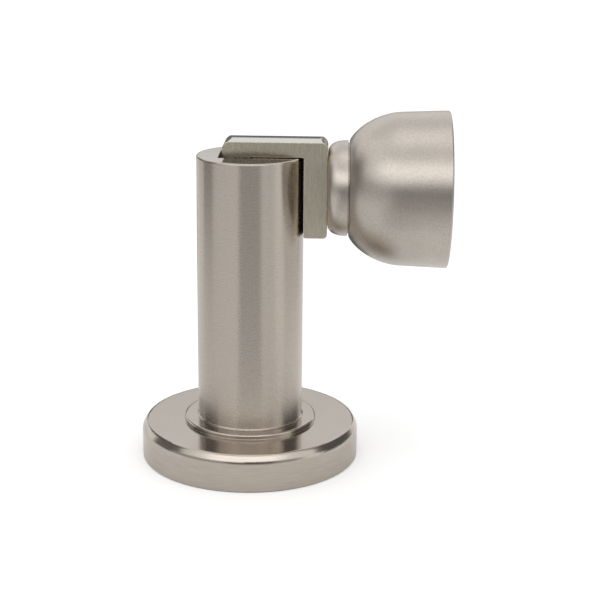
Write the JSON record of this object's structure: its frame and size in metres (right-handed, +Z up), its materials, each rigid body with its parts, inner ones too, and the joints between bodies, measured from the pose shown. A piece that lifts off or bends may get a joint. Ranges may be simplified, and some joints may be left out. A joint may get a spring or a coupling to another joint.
{
  "type": "magnetic door stop",
  "caption": "Floor-standing magnetic door stop: round bevelled base, turned post with a hinged L-shaped catch lever, and a bell-shaped magnet catch for the door.",
  "frame": {"origin": "centre of the base's underside, on the post's axis, at floor level", "axes": "+Z up the post, +X from the post towards the door"},
  "size_m": [0.0691, 0.05, 0.0807],
  "materials": {
    "satin_nickel": "satin nickel plate, finely turned",
    "brushed_nickel": "satin nickel plate, brushed round the post",
    "brushed_steel": "steel brushed along the leg",
    "pin_steel": "ground steel",
    "zinc_plated_steel": "dull zinc plate",
    "pearl_nickel": "bead-blasted pearl nickel plate",
    "magnet_nickel": "bright nickel coat"
  },
  "bodies": {
    "root": {"base_rose": "satin_nickel", "post": "brushed_nickel", "hinge_pin": "pin_steel", "fixing_plate": "zinc_plated_steel", "centre_bolt": "zinc_plated_steel", "lock_washer": "zinc_plated_steel", "lock_nut": "zinc_plated_steel"},
    "catch_lever": {"lever": "brushed_steel"},
    "door_catch": {"magnet_holder": "pearl_nickel", "magnet": "magnet_nickel", "back_iron": "zinc_plated_steel", "bell": "pearl_nickel", "stem_washer": "zinc_plated_steel", "stem_nut": "zinc_plated_steel", "door_plate": "zinc_plated_steel", "grub_screw": "zinc_plated_steel"}
  },
  "joints": [
    {"name": "lever_tilt", "type": "hinge", "parent": "root", "child": "catch_lever", "pos_m": [-0.0028, 0, 0.0687], "axis": [0, -1, 0], "range_deg": [0, 15]},
    {"name": "door_release", "type": "slide", "parent": "catch_lever", "child": "door_catch", "axis": [1, 0, 0], "range_m": [0, 0.05]}
  ]
}
